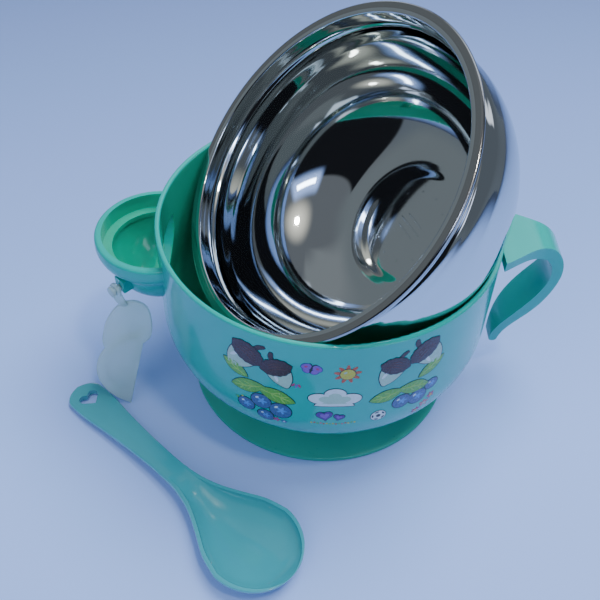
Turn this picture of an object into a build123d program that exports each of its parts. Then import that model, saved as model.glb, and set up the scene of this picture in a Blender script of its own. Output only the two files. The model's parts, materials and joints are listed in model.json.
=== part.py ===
from build123d import *

import os
from math import cos, radians, sin, sqrt

# Toddler's suction bowl: hot-water shell, steel inner bowl, suction base, stopper and spoon.
# Millimetres. The origin is on the table under the middle of the suction base. +Z is up, +X points
# at the handle, -X at the filling port and -Y at the decorated front.

os.makedirs("parts", exist_ok=True)

# --- Outer shell: one moulding with the port and the handle ---
rim_radius = 67.5
rim_height = 86.2
wall = 2.1
belly_top = 45.4  # the straight wall starts to round inwards here
foot_radius = 35.0
foot_height = 14.0
floor_thickness = 2.2
boss_radius = 8.0
boss_length = 5.0
boss_hole_radius = 3.0

# --- Filling port on the -X side: a half-round tray that opens through the wall ---
port_top = 78.0
port_ring_height = 10.0
port_outer_radius = 24.4
port_inner_radius = 21.7
port_shelf_drop = 6.5
port_well_radius = 18.1
pocket_depth = 18.6
pocket_reach = 18.6
pocket_wall = 2.0

# --- Hooked handle on the +X side: a tapering band with a free lower end ---
handle_root = 66.0  # inside the wall
handle_root_half_width = 17.0
handle_neck_height = 75.0
handle_plan_height = 64.0

# --- Suction base ---
cup_radius = 56.7
cup_lip = 1.8
cup_hub_radius = 33.0
cup_hub_thickness = 4.6
retainer_radius = 13.0
retainer_thickness = 2.4

# --- Steel bowl, leaning in the shell ---
bowl_centre = (-5.7, -2.5, 110.55)  # middle of its rim
bowl_azimuth = 202.0  # the way its mouth faces, seen from above
bowl_elevation = 43.9  # how far its mouth faces up
steel = 0.8
flange_radius = 67.2
collar_radius = 63.2
bead_depth = 8.3
bulge_radius = 64.5
bulge_depth = 20.0
bowl_depth = 62.0
bowl_base_radius = 26.0

# --- Stopper on its strap, hanging under the port ---
hinge_point = (-82.6, -20.3, 64.8)
hinge_azimuth = 225.0
stopper_azimuth = 272.0  # the way the stopper's flat front faces
stopper_lean = 6.0
stopper_radius = 20.6
stopper_flat_offset = 3.6
stopper_plate = 2.2
boss_reach = 4.6
pin_radius = 1.2
pin_length = 7.9
pin_head_radius = 2.3
pin_head_height = 1.1
pin_head_gap = 0.35  # between the strap's eye and the pin's head
lug_offset = 4.3  # from the hinge point to the middle of the lug
lug_rise = 1.1
lug_height = 5.6
lug_width = 5.4
lug_length = 4.4
eye_radius = 2.9
eye_clearance = 0.3
eye_width = 2.0
strap_radius = 1.5

# --- Spoon, lying in front ---
spoon_end = (-107.1, -20.2)  # free end of its handle
spoon_angle = -44.6
spoon_length = 129.5


def direction(azimuth, elevation=0.0):
    """Unit vector from an azimuth and an elevation in degrees."""
    a, e = radians(azimuth), radians(elevation)
    return Vector(cos(e) * cos(a), cos(e) * sin(a), sin(e))


# ----------------------------------------------------------------------------------------------
# Room that the handle keeps to: a tapering plan over its arch, and anything below that.
handle_reach = 93.6
with BuildPart() as handle_limits:
    with BuildSketch(Plane.XY.offset(handle_plan_height)):
        with BuildLine():
            near_plan = Spline(
                (60.0, -25.4),
                (66.0, -22.4),
                (73.0, -18.2),
                (79.3, -14.7),
                (85.0, -12.8),
                (100.0, -12.2),
            )
            far_plan = Spline(
                (100.0, 0.8),
                (87.0, 1.4),
                (81.0, 3.2),
                (75.0, 6.4),
                (66.0, 10.6),
                (60.0, 12.8),
            )
            Line(near_plan @ 1, far_plan @ 0)
            Line(far_plan @ 1, near_plan @ 0)
        make_face()
    extrude(amount=rim_height - handle_plan_height)
    with BuildSketch():
        Rectangle(4 * handle_reach, 4 * handle_reach)
    extrude(amount=handle_plan_height)

# Handle: its side outline, trimmed to a front outline and to the room above.
with BuildPart() as handle_band:
    with BuildSketch(Plane.XZ):
        with BuildLine():
            outer = Spline(
                (handle_root, 82.0),
                (78.5, 82.0),
                (85.0, 81.0),
                (90.0, 77.2),
                (93.0, 71.0),
                (handle_reach, 64.5),
                (92.2, 56.0),
                (86.4, 41.5),
                (81.0, 32.6),
                (77.0, 20.5),
            )
            inner = Spline(
                (73.4, 21.5),
                (76.6, 33.5),
                (81.0, 42.0),
                (87.6, 56.0),
                (89.4, 64.0),
                (88.4, 70.2),
                (85.0, 74.6),
                (79.0, 77.2),
                (handle_root, 77.6),
            )
            ThreePointArc(outer @ 1, (74.9, 19.3), inner @ 0)
            Line(inner @ 1, outer @ 0)
        make_face()
    extrude(amount=handle_root_half_width * 2, both=True)
    with BuildSketch(Plane.YZ):
        with BuildLine():
            near_side = Spline(
                (-12.2, handle_neck_height),
                (-11.6, 64.0),
                (-10.8, 52.0),
                (-8.8, 36.0),
                (-6.9, 24.0),
                (-6.0, 16.0),
            )
            Line(near_side @ 1, (-1.2, 16.0))
            far_side = Spline(
                (-1.2, 16.0),
                (1.6, 24.0),
                (6.2, 35.0),
                (7.4, 46.0),
                (5.0, 57.0),
                (2.0, 67.0),
                (1.2, handle_neck_height),
            )
            Polyline(
                far_side @ 1,
                (handle_root_half_width, 77.3),
                (handle_root_half_width, 90.0),
                (-handle_root_half_width * 1.5, 90.0),
                (-handle_root_half_width * 1.5, 77.3),
                near_side @ 0,
            )
        make_face()
    extrude(amount=handle_reach + 10.0, mode=Mode.INTERSECT)
    add(handle_limits.part, mode=Mode.INTERSECT)

# Space over the port's shelf, outside the bowl's own wall.
shelf_height = port_top - port_shelf_drop
with BuildPart() as shelf_space:
    with BuildSketch(Plane.XY.offset(shelf_height)):
        with Locations((-rim_radius, 0)):
            Circle(port_inner_radius)
    extrude(amount=port_shelf_drop + 5.0)
    with BuildSketch(Plane.XY.offset(shelf_height)):
        Circle(rim_radius)
    extrude(amount=port_shelf_drop + 5.0, mode=Mode.SUBTRACT)

# Ring of the port: a solid disc with bulged edges, hollowed when it joins the shell.
ring_bottom = port_top - port_ring_height
with BuildPart() as port_disc:
    with BuildSketch(Plane.XZ):
        with BuildLine():
            Polyline(
                (-rim_radius, ring_bottom),
                (-rim_radius, port_top),
                (-rim_radius - port_outer_radius + 1.2, port_top),
            )
            edge_top = ThreePointArc(
                (-rim_radius - port_outer_radius + 1.2, port_top),
                (-rim_radius - port_outer_radius + 0.3, port_top - 0.5),
                (-rim_radius - port_outer_radius, port_top - 1.6),
            )
            edge_low = ThreePointArc(
                edge_top @ 1,
                (-rim_radius - port_outer_radius + 0.4, ring_bottom + 3.6),
                (-rim_radius - port_outer_radius + 3.2, ring_bottom),
            )
            Line(edge_low @ 1, (-rim_radius, ring_bottom))
        make_face()
    revolve(axis=Axis((-rim_radius, 0, 0), (0, 0, 1)))

pocket_level = ring_bottom + 1.5
pocket_axis = Axis((-rim_radius, 0, pocket_level), (-1, 0, 0))
lug_centre = Vector(*hinge_point) - direction(hinge_azimuth) * lug_offset
lug_plane = Plane(origin=lug_centre, x_dir=(0, 0, 1), z_dir=direction(hinge_azimuth))

with BuildPart() as outer_shell:
    with BuildSketch(Plane.XZ):
        with BuildLine():
            Line((0, foot_height), (foot_radius, foot_height))
            EllipticalCenterArc(
                (foot_radius, belly_top),
                rim_radius - foot_radius,
                belly_top - foot_height,
                start_angle=270,
                arc_size=90,
            )
            Polyline((rim_radius, belly_top), (rim_radius, rim_height), (0, rim_height), (0, foot_height))
        make_face()
    revolve(axis=Axis.Z)
    add(handle_band.part)
    add(port_disc.part)
    # Pocket under the ring, half an ellipsoid against the wall.
    with BuildSketch(Plane.XY.offset(pocket_level)):
        with BuildLine():
            EllipticalCenterArc(
                (-rim_radius, 0),
                pocket_reach + pocket_wall,
                pocket_depth + pocket_wall,
                start_angle=0,
                arc_size=180,
            )
            Line(
                (-rim_radius - pocket_reach - pocket_wall, 0),
                (-rim_radius + pocket_reach + pocket_wall, 0),
            )
        make_face()
    revolve(axis=pocket_axis, revolution_arc=180)
    # Lug under the ring for the strap's pin.
    with BuildSketch(lug_plane):
        with Locations((lug_rise, 0)):
            Rectangle(lug_height, lug_width)
    extrude(amount=lug_length / 2, both=True)
    # Hollow inside, with a flat watertight floor.
    with BuildSketch(Plane.XZ):
        with BuildLine():
            Line((0, foot_height + floor_thickness), (foot_radius, foot_height + floor_thickness))
            EllipticalCenterArc(
                (foot_radius, belly_top),
                rim_radius - foot_radius - wall,
                belly_top - foot_height - floor_thickness,
                start_angle=270,
                arc_size=90,
            )
            Polyline(
                (rim_radius - wall, belly_top),
                (rim_radius - wall, rim_height + 5.0),
                (0, rim_height + 5.0),
                (0, foot_height + floor_thickness),
            )
        make_face()
    revolve(axis=Axis.Z, mode=Mode.SUBTRACT)
    # Port: shelf for the stopper, well, and window through the wall.
    add(shelf_space.part, mode=Mode.SUBTRACT)
    with BuildSketch(Plane.XY.offset(pocket_level)):
        with Locations((-rim_radius, 0)):
            Circle(port_well_radius)
    extrude(amount=shelf_height - pocket_level, mode=Mode.SUBTRACT)
    with BuildSketch(Plane.XY.offset(pocket_level)):
        with BuildLine():
            EllipticalCenterArc((-rim_radius, 0), pocket_reach, pocket_depth, start_angle=0, arc_size=180)
            Line((-rim_radius - pocket_reach, 0), (-rim_radius + pocket_reach, 0))
        make_face()
    revolve(axis=pocket_axis, revolution_arc=180, mode=Mode.SUBTRACT)
    # Blind boss under the floor.
    with BuildSketch(Plane.XY.offset(foot_height)):
        Circle(boss_radius)
    extrude(amount=-boss_length)
    with Locations(Plane.XY.offset(foot_height - boss_length)):
        Cylinder(
            boss_hole_radius,
            boss_length - 1.0,
            align=(Align.CENTER, Align.CENTER, Align.MIN),
            mode=Mode.SUBTRACT,
        )
    with Locations(lug_plane):
        Cylinder(pin_radius, lug_length * 2, mode=Mode.SUBTRACT)
    rim_edges = outer_shell.edges().filter_by(GeomType.CIRCLE).group_by(Axis.Z)[-1]
    fillet(rim_edges, wall * 0.42)
outer_shell.part.label = "outer_shell"

# ----------------------------------------------------------------------------------------------
# Suction base: soft dish with a thick hub, held on the boss.
hub_bottom = foot_height - cup_hub_thickness
with BuildPart() as suction_cup:
    with BuildSketch(Plane.XZ):
        with BuildLine():
            Line((boss_radius, foot_height), (cup_hub_radius, foot_height))
            top_curve = Spline(
                (cup_hub_radius, foot_height),
                (40.0, 9.6),
                (48.0, 5.3),
                (cup_radius - 0.6, cup_lip),
            )
            ThreePointArc(top_curve @ 1, (cup_radius, cup_lip * 0.5), (cup_radius - 0.6, 0))
            Line((cup_radius - 0.6, 0), (cup_radius - 3.2, 0))
            under_curve = Spline(
                (cup_radius - 3.2, 0),
                (46.0, 3.4),
                (36.0, 7.6),
                (26.0, hub_bottom),
            )
            Polyline(under_curve @ 1, (boss_radius, hub_bottom), (boss_radius, foot_height))
        make_face()
    revolve(axis=Axis.Z)
suction_cup.part.label = "suction_cup"

# Retainer: a headed plug pressed into the boss, which clamps the hub.
retainer_top = foot_height - boss_length
with BuildPart() as cup_retainer:
    with BuildSketch(Plane.XZ):
        with BuildLine():
            Polyline(
                (0, retainer_top - retainer_thickness),
                (retainer_radius - 1.0, retainer_top - retainer_thickness),
                (retainer_radius, retainer_top - retainer_thickness + 1.0),
                (retainer_radius, hub_bottom),
                (boss_radius + 0.2, hub_bottom),
                (boss_radius + 0.2, retainer_top),
                (boss_hole_radius, retainer_top),
                (boss_hole_radius, retainer_top + boss_length - 1.6),
                (0, retainer_top + boss_length - 1.6),
                (0, retainer_top - retainer_thickness),
            )
        make_face()
    revolve(axis=Axis.Z)
cup_retainer.part.label = "cup_retainer"

# ----------------------------------------------------------------------------------------------
# Steel bowl: pressed from sheet, drawn in a section through its own axis.
bowl_axis_dir = direction(bowl_azimuth, bowl_elevation)
bowl_side = direction(bowl_azimuth + 90.0)
bowl_section = Plane(origin=bowl_centre, x_dir=bowl_side, z_dir=bowl_side.cross(bowl_axis_dir))
bowl_axis = Axis(bowl_centre, bowl_axis_dir)
bead_low = bead_depth + 1.4


def on_dish(inset, turn):
    """Point on the dish's rounded flank, from its widest place (0) down to its flat base (90 degrees)."""
    across = bulge_radius - bowl_base_radius - inset
    down = bowl_depth - bulge_depth - inset
    return (bowl_base_radius + across * cos(radians(turn)), -bulge_depth - down * sin(radians(turn)))


def bowl_profile(inset):
    """Closed half section of the bowl's form, drawn in by a distance from its outside."""
    with BuildSketch(bowl_section) as section:
        with BuildLine():
            collar = Polyline(
                (0, inset * 4.0),
                (collar_radius - inset, inset * 4.0),
                (collar_radius - inset, -2.2),
                (collar_radius - 0.3 - inset, 1.3 - bead_depth),
            )
            bead = Polyline(
                collar @ 1,
                (collar_radius - 0.85 - inset, 0.75 - bead_depth),
                (collar_radius - 1.1 - inset, -bead_depth),
                (collar_radius - 0.85 - inset, -0.8 - bead_depth),
                (collar_radius - 0.2 - inset, -bead_low),
            )
            shoulder = ThreePointArc(
                bead @ 1,
                (bulge_radius - 0.45 - inset, -14.0),
                (bulge_radius - inset, -bulge_depth),
            )
            flank = ThreePointArc(
                shoulder @ 1,
                on_dish(inset, 22.5),
                on_dish(inset, 45.0),
            )
            ThreePointArc(
                flank @ 1,
                on_dish(inset, 67.5),
                on_dish(inset, 90.0),
            )
            Polyline(
                (bowl_base_radius, inset - bowl_depth),
                (bowl_base_radius - 1.2, 1.0 + inset - bowl_depth),
                (0, 1.0 + inset - bowl_depth),
                (0, inset * 4.0),
            )
        make_face()
    return section.sketch


outside_form = bowl_profile(0.0)
inside_form = bowl_profile(steel)
with BuildPart() as inner_bowl:
    add(outside_form)
    revolve(axis=bowl_axis)
    # Rolled flange.
    with BuildSketch(bowl_section):
        with BuildLine():
            Line((collar_radius - steel, 0), (flange_radius - 0.9, 0))
            flange_edge = Polyline(
                (flange_radius - 0.9, 0),
                (flange_radius - 0.26, -0.26),
                (flange_radius, -0.9),
                (flange_radius - 0.26, -1.54),
                (flange_radius - 0.9, -1.8),
            )
            Polyline(
                flange_edge @ 1,
                (flange_radius - 1.4, -1.0),
                (collar_radius + 0.8, -1.0),
                (collar_radius, -1.8),
                (collar_radius - steel, -1.8),
                (collar_radius - steel, 0),
            )
        make_face()
    revolve(axis=bowl_axis)
    add(inside_form)
    revolve(axis=bowl_axis, mode=Mode.SUBTRACT)
inner_bowl.part.label = "inner_bowl"

# ----------------------------------------------------------------------------------------------
# Stopper: a half-round plate with a plug behind it and a finger tab, on a soft strap.
hinge_dir = direction(hinge_azimuth)
stopper_dir = direction(stopper_azimuth, stopper_lean)
stopper_side = direction(stopper_azimuth + 90.0)
stopper_plane = Plane(origin=hinge_point, x_dir=stopper_side, z_dir=stopper_dir)
flat_top = (8.7, -25.0)
flat_bottom = (-0.8, -64.4)
flat_length = sqrt((flat_top[0] - flat_bottom[0]) ** 2 + (flat_top[1] - flat_bottom[1]) ** 2)
flat_down = ((flat_bottom[0] - flat_top[0]) / flat_length, (flat_bottom[1] - flat_top[1]) / flat_length)
flat_left = (flat_down[1], -flat_down[0])
flat_middle = ((flat_top[0] + flat_bottom[0]) / 2, (flat_top[1] + flat_bottom[1]) / 2)
arc_centre = (
    flat_middle[0] - flat_left[0] * stopper_flat_offset,
    flat_middle[1] - flat_left[1] * stopper_flat_offset,
)


def on_arc(radius, along_left, along_down):
    """Point at a radius from the arc's centre, in the direction of a left and a down share."""
    size = sqrt(along_left**2 + along_down**2)
    return (
        arc_centre[0] + radius * (flat_left[0] * along_left + flat_down[0] * along_down) / size,
        arc_centre[1] + radius * (flat_left[1] * along_left + flat_down[1] * along_down) / size,
    )


def half_round(radius, flat_offset):
    """Half-round outline: an arc closed by a straight side at an offset from its centre."""
    reach = sqrt(radius**2 - flat_offset**2)
    arc = ThreePointArc(
        on_arc(radius, flat_offset, -reach),
        on_arc(radius, 1, 0),
        on_arc(radius, flat_offset, reach),
    )
    Line(arc @ 1, arc @ 0)


with BuildPart() as fill_plug:
    with BuildSketch(stopper_plane):
        with BuildLine():
            half_round(stopper_radius, stopper_flat_offset)
        make_face()
        # Finger tab and the web that joins it to the plate.
        with BuildLine():
            Spline(
                (2.0, -6.4),
                (-3.6, -12.6),
                (-7.0, -20.0),
                (-9.6, -34.0),
                (-4.0, -40.0),
                (6.0, -30.5),
                (11.2, -26.0),
                (12.4, -19.5),
                (11.4, -10.8),
                (7.0, -6.4),
                (2.0, -6.4),
            )
        make_face()
    extrude(amount=-stopper_plate)
    with BuildSketch(stopper_plane.offset(-stopper_plate)):
        with BuildLine():
            half_round(port_well_radius - 0.5, stopper_flat_offset + 1.6)
        make_face()
    extrude(amount=-boss_reach, taper=4)
fill_plug.part.label = "fill_plug"

eye_plane = Plane(origin=hinge_point, x_dir=(0, 0, 1), z_dir=hinge_dir)
strap_start = Vector(*hinge_point) + Vector(0, 0, 0.4 - eye_radius)
strap_end = stopper_plane.from_local_coords((3.0, -9.0, -stopper_plate / 2))
strap_run = Vector(*strap_end) - strap_start
with BuildPart() as plug_strap:
    with BuildSketch(eye_plane):
        Circle(eye_radius)
    extrude(amount=eye_width / 2, both=True)
    with BuildSketch(Plane(origin=strap_start, z_dir=strap_run)):
        Circle(strap_radius)
    extrude(amount=strap_run.length)
    with BuildSketch(eye_plane):
        Circle(pin_radius + eye_clearance)
    extrude(amount=eye_width, both=True, mode=Mode.SUBTRACT)
plug_strap.part.label = "plug_strap"

# Pin: passes through the strap's eye and snaps into the lug.
pin_start = lug_centre - hinge_dir * 1.8
head_start = Vector(*hinge_point) + hinge_dir * (eye_width / 2 + pin_head_gap)
pin_plane = Plane(origin=pin_start, x_dir=(0, 0, 1), z_dir=hinge_dir)
head_plane = Plane(origin=head_start, x_dir=(0, 0, 1), z_dir=hinge_dir)
with BuildPart() as strap_pin:
    with BuildSketch(pin_plane):
        Circle(pin_radius)
    extrude(amount=pin_length)
    with BuildSketch(head_plane):
        Circle(pin_head_radius)
    extrude(amount=pin_head_height)
    head_edges = strap_pin.faces().sort_by(Axis(hinge_point, hinge_dir))[-1].edges()
    fillet(head_edges, 0.5)
strap_pin.part.label = "strap_pin"

# ----------------------------------------------------------------------------------------------
# Spoon: drawn along its own length, flat on the table.
spoon_plane = Plane(origin=(spoon_end[0], spoon_end[1], 0), x_dir=direction(spoon_angle), z_dir=(0, 0, 1))
spoon_side_plane = Plane(origin=spoon_plane.origin, x_dir=spoon_plane.x_dir, z_dir=-spoon_plane.y_dir)
spoon_rim_height = 8.7
spoon_clear_height = 12.0  # taller than any part of the spoon
# Distance along the spoon and half width there.
spoon_half_widths = (
    (6.5, 8.0),
    (13.0, 8.0),
    (30.0, 6.4),
    (48.0, 5.2),
    (60.0, 4.9),
    (72.0, 5.6),
    (82.0, 8.2),
    (91.0, 12.4),
    (100.0, 17.0),
    (109.0, 19.4),
    (118.0, 17.6),
    (125.0, 11.8),
)
with BuildPart() as spoon_outline:
    with BuildSketch(spoon_plane):
        with BuildLine():
            side = Spline(
                (0, 0),
                *spoon_half_widths,
                (spoon_length, 0),
                tangents=((0, 1), (0, -1)),
            )
            mirror(side, about=Plane.XZ)
        make_face()
    extrude(amount=spoon_clear_height)

# Heart-shaped hanging hole near the end of the handle.
heart_middle = 9.0
with BuildPart() as heart_hole:
    with BuildSketch(spoon_plane):
        with BuildLine():
            lobe = Spline(
                (heart_middle - 1.9, 0),
                (heart_middle - 3.4, 2.4),
                (heart_middle - 1.6, 4.4),
                (heart_middle + 1.6, 2.8),
                (heart_middle + 4.2, 0),
                tangents=((-0.5, 1), (0.55, -1)),
            )
            mirror(lobe, about=Plane.XZ)
        make_face()
    extrude(amount=spoon_clear_height)

# Stations of the dish: distance along the spoon, half width and depth.
dish_stations = (
    (74.0, 5.0, 2.0),
    (82.0, 8.6, 5.0),
    (91.0, 13.0, 7.4),
    (100.0, 17.4, 8.5),
    (109.0, 19.6, 8.6),
    (118.0, 17.8, 7.6),
    (125.0, 12.2, 5.2),
    (spoon_length - 0.6, 4.0, 2.0),
)
spoon_wall = 1.7


def dish(inset):
    """Lofted half-round dish, drawn in by a distance from its outside."""
    with BuildPart() as form:
        for station, half_width, depth in dish_stations:
            middle = spoon_plane.from_local_coords((station, 0, spoon_rim_height))
            across = Plane(origin=middle, x_dir=spoon_plane.y_dir, z_dir=spoon_plane.x_dir)
            with BuildSketch(across):
                with BuildLine():
                    EllipticalCenterArc(
                        (0, 0),
                        half_width - inset,
                        max(depth - inset, 0.4),
                        start_angle=180,
                        arc_size=180,
                    )
                    Line((half_width - inset, 0), (inset - half_width, 0))
                make_face()
        loft()
    return form


dish_outside = dish(0.0)
dish_inside = dish(spoon_wall)
with BuildPart() as spoon:
    # Handle, a low arch.
    with BuildSketch(spoon_side_plane):
        with BuildLine():
            over = Spline(
                (0, 3.2),
                (30, 5.6),
                (60, 8.0),
                (80, spoon_rim_height),
                tangents=((1, 0.1), (1, 0)),
            )
            under = Spline(
                (80, 4.6),
                (60, 4.6),
                (30, 2.6),
                (0, 0.4),
                tangents=((-1, 0), (-1, -0.05)),
            )
            Line(over @ 1, under @ 0)
            Line(under @ 1, over @ 0)
        make_face()
    extrude(amount=25.0, both=True)
    add(spoon_outline.part, mode=Mode.INTERSECT)
    add(dish_outside.part)
    add(dish_inside.part, mode=Mode.SUBTRACT)
    add(heart_hole.part, mode=Mode.SUBTRACT)
spoon.part.label = "spoon"

for piece in (
    outer_shell,
    suction_cup,
    cup_retainer,
    strap_pin,
    inner_bowl,
    fill_plug,
    plug_strap,
    spoon,
):
    export_step(piece.part, f"parts/{piece.part.label}.step")
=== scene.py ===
"""Looks of the toddler's suction bowl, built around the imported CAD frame. Metres, in the row frame."""

import json
from math import atan2, cos, degrees, pi, radians, sin, sqrt

import bmesh
import bpy
import numpy as np
from mathutils import Matrix, Vector

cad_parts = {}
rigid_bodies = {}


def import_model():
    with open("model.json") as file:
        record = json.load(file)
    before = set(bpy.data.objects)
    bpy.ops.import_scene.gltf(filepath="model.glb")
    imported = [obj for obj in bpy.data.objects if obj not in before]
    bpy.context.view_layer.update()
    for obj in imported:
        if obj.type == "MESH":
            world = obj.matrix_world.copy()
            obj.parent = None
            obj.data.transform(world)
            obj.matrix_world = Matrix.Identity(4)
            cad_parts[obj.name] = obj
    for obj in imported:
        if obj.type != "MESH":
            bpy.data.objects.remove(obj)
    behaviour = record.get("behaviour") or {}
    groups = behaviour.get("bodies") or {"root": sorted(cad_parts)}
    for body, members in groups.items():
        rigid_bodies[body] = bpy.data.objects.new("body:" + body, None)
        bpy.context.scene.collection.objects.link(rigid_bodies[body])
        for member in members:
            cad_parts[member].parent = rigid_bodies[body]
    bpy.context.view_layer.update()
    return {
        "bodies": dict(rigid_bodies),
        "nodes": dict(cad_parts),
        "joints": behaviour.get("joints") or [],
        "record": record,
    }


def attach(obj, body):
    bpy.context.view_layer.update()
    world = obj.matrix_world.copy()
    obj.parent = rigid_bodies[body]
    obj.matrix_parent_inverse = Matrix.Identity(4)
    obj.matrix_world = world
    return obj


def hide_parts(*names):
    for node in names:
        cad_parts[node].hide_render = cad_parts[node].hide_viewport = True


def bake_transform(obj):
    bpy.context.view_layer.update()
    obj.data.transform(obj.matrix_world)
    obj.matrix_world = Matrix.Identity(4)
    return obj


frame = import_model()

MM = 0.001
SEGMENTS = 192

# Driving sizes of the object, in millimetres, as in the CAD model.
RIM_RADIUS = 67.5
BELLY_TOP = 45.4
FOOT_RADIUS = 35.0
FOOT_HEIGHT = 14.0
BOWL_CENTRE = Vector((-5.7, -2.5, 110.55))
BOWL_AZIMUTH = 202.0
BOWL_ELEVATION = 43.9
HINGE = Vector((-82.6, -20.3, 64.8))
SPOON_END = (-107.1, -20.2)
SPOON_ANGLE = -44.6
SPOON_LENGTH = 129.5


# ---------------------------------------------------------------- small helpers
def direction(azimuth, elevation=0.0):
    """Unit vector from an azimuth and an elevation in degrees."""
    a, e = radians(azimuth), radians(elevation)
    return Vector((cos(e) * cos(a), cos(e) * sin(a), sin(e)))


def new_object(name, data):
    """New object in the scene from its mesh, light or camera."""
    piece = bpy.data.objects.new(name, data)
    bpy.context.scene.collection.objects.link(piece)
    return piece


def mesh_object(name, vertices, faces, material, smooth=True):
    """Object from points in millimetres and a list of faces, with its normals turned outwards."""
    mesh = bpy.data.meshes.new(name)
    mesh.from_pydata([tuple(c * MM for c in v) for v in vertices], [], faces)
    build = bmesh.new()
    build.from_mesh(mesh)
    bmesh.ops.remove_doubles(build, verts=build.verts, dist=1e-7)
    bmesh.ops.recalc_face_normals(build, faces=build.faces)
    build.to_mesh(mesh)
    build.free()
    mesh.polygons.foreach_set("use_smooth", [smooth] * len(mesh.polygons))
    mesh.materials.append(material)
    return new_object(name, mesh)


def smooth_by_angle(piece, angle):
    """Smooth shading, with edges sharper than an angle left crisp."""
    mesh = piece.data
    mesh.polygons.foreach_set("use_smooth", [True] * len(mesh.polygons))
    mesh.set_sharp_from_angle(angle=radians(angle))


def apply_modifiers(piece):
    """Bake a piece's modifiers into its mesh."""
    bpy.context.view_layer.update()
    graph = bpy.context.evaluated_depsgraph_get()
    mesh = bpy.data.meshes.new_from_object(piece.evaluated_get(graph))
    piece.modifiers.clear()
    piece.data = mesh


def combine(piece, other, operation):
    """Cut another object from a piece, or join it to the piece, and remove the other."""
    step = piece.modifiers.new("step", "BOOLEAN")
    step.operation = operation
    step.solver = "EXACT"
    step.object = other
    apply_modifiers(piece)
    bpy.data.objects.remove(other)


def lathe(name, profile, material, segments=SEGMENTS):
    """Closed solid of revolution about Z from a profile of (radius, height) points."""
    vertices, faces, rings = [], [], []
    for radius, height in profile:
        if radius < 1e-6:
            rings.append([len(vertices)])
            vertices.append((0.0, 0.0, height))
            continue
        ring = []
        for k in range(segments):
            turn = 2 * pi * k / segments
            ring.append(len(vertices))
            vertices.append((radius * cos(turn), radius * sin(turn), height))
        rings.append(ring)
    pairs = list(zip(rings, rings[1:]))
    if len(rings[0]) > 1:
        pairs.append((rings[-1], rings[0]))
    for low, high in pairs:
        for k in range(segments):
            n = (k + 1) % segments
            if len(low) == 1 and len(high) == 1:
                break
            if len(low) == 1:
                faces.append((low[0], high[k], high[n]))
            elif len(high) == 1:
                faces.append((low[k], high[0], low[n]))
            else:
                faces.append((low[k], high[k], high[n], low[n]))
    return mesh_object(name, vertices, faces, material)


def arc(centre, radii, start, end, steps):
    """Points on an ellipse's arc, angles in degrees."""
    points = []
    for k in range(steps + 1):
        turn = radians(start + (end - start) * k / steps)
        points.append((centre[0] + radii[0] * cos(turn), centre[1] + radii[1] * sin(turn)))
    return points


def curve_through(points, steps):
    """Smooth open curve through two-dimensional points, by cubic pieces."""
    pts = [Vector(p) for p in points]
    pts = [pts[0] * 2 - pts[1]] + pts + [pts[-1] * 2 - pts[-2]]
    result = []
    for k in range(1, len(pts) - 2):
        before, a, b, after = pts[k - 1 : k + 3]
        for step in range(steps):
            t = step / steps
            value = 0.5 * (
                2 * a
                + (b - before) * t
                + (2 * before - 5 * a + 4 * b - after) * t**2
                + (3 * a - before - 3 * b + after) * t**3
            )
            result.append(tuple(value))
    result.append(tuple(pts[-2]))
    return result


def grown(outline, by):
    """Closed outline moved outwards by a distance along its own normals."""
    size = len(outline)
    following = outline[1:] + outline[:1]
    area = sum(a[0] * b[1] - b[0] * a[1] for a, b in zip(outline, following))
    side = 1.0 if area > 0 else -1.0
    result = []
    for k in range(size):
        before, after = outline[k - 1], outline[(k + 1) % size]
        run = Vector((after[0] - before[0], after[1] - before[1]))
        run = run.normalized() if run.length > 1e-9 else Vector((1.0, 0.0))
        result.append((outline[k][0] + side * by * run.y, outline[k][1] - side * by * run.x))
    return result


def placed(outline, x, y, turn=0.0, size=1.0):
    """Outline turned by an angle in degrees, scaled, and moved to a place."""
    c, s = cos(radians(turn)) * size, sin(radians(turn)) * size
    return [(x + c * px - s * py, y + s * px + c * py) for px, py in outline]


def ellipse(x, y, across, up, turn=0.0, steps=36):
    """Ellipse by its half axes."""
    around = [(across * cos(2 * pi * k / steps), up * sin(2 * pi * k / steps)) for k in range(steps)]
    return placed(around, x, y, turn)


def polar(x, y, reach, turn=0.0, steps=60):
    """Closed outline from a function of the angle."""
    around = [2 * pi * k / steps for k in range(steps)]
    return placed([(reach(a) * cos(a), reach(a) * sin(a)) for a in around], x, y, turn)


def stroke(points, width):
    """Narrow band along a smooth curve, with pointed ends."""
    line = curve_through(points, 6)
    left, right = [], []
    for k, (x, y) in enumerate(line):
        before, after = line[max(k - 1, 0)], line[min(k + 1, len(line) - 1)]
        run = Vector((after[0] - before[0], after[1] - before[1])).normalized()
        half = width / 2 * sin(pi * (k + 0.6) / (len(line) + 0.2)) ** 0.4
        left.append((x - run.y * half, y + run.x * half))
        right.append((x + run.y * half, y - run.x * half))
    return left + right[::-1]


def rounded_slab(name, outline, front, back, edge, material):
    """Flat piece of an outline between two heights, with rounded edges all round."""
    rings = []
    steps = 5
    for k in range(steps + 1):
        turn = radians(90 * k / steps)
        rings.append((grown(outline, -edge * (1 - sin(turn))), front - edge * (1 - cos(turn))))
    for k in range(steps + 1):
        turn = radians(90 * k / steps)
        rings.append((grown(outline, -edge * (1 - cos(turn))), back + edge * (1 - sin(turn))))
    vertices = [(x, y, z) for ring, z in rings for x, y in ring]
    size = len(outline)
    faces = [tuple(range(size)), tuple(range(len(vertices) - size, len(vertices)))]
    for ring in range(len(rings) - 1):
        first = ring * size
        for k in range(size):
            n = (k + 1) % size
            faces.append((first + k, first + n, first + size + n, first + size + k))
    return mesh_object(name, vertices, faces, material)


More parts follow.
